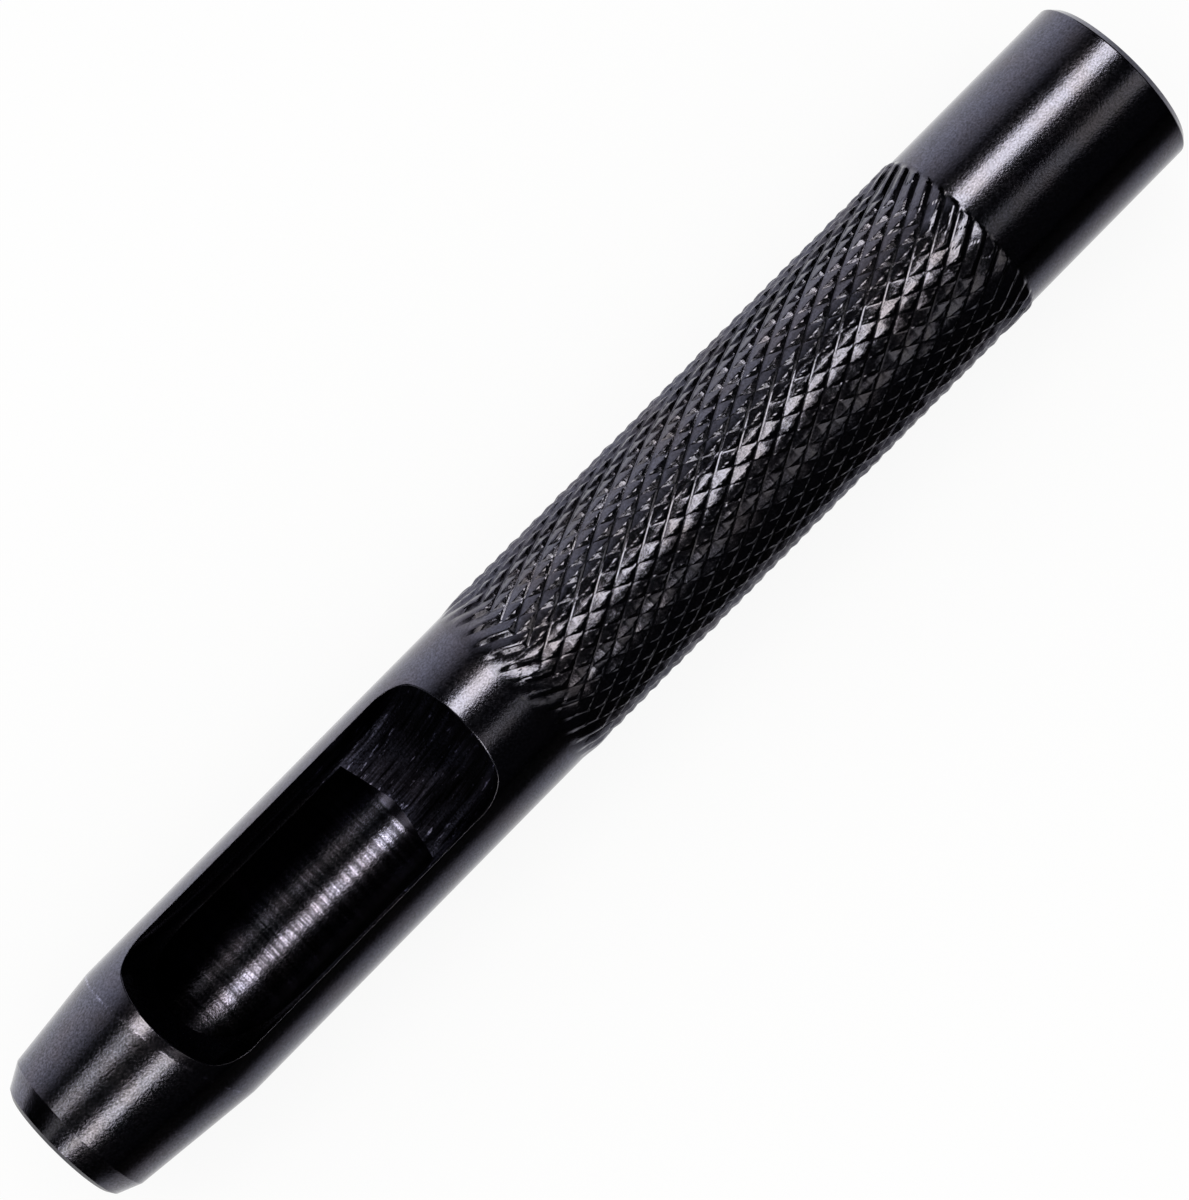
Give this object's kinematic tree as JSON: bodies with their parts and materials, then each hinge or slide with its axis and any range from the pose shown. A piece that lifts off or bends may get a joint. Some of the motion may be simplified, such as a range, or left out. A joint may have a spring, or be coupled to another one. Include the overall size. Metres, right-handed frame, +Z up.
{
  "type": "hollow punch",
  "caption": "Hollow hand punch: round steel bar with a bevelled cutting rim, a blind bore that opens into a slug window, a diamond-knurled grip and a flat striking head.",
  "frame": {"origin": "under the middle of the punch's length, on the surface it lies on", "axes": "+X along the bar from the cutting edge to the striking head, +Z up, out of the slug window"},
  "size_m": [0.09, 0.0122, 0.0123],
  "materials": {
    "turned_black_steel": "turned tool steel with a satin black oxide finish",
    "ground_black_steel": "ground bevel with a satin black oxide finish",
    "knurled_black_steel": "rolled diamond knurl with a satin black oxide finish"
  },
  "bodies": {
    "root": {"cutting_edge": "ground_black_steel", "tapered_nose": "turned_black_steel", "window_barrel": "turned_black_steel", "knurled_grip": "knurled_black_steel", "striking_head": "turned_black_steel"}
  },
  "joints": []
}
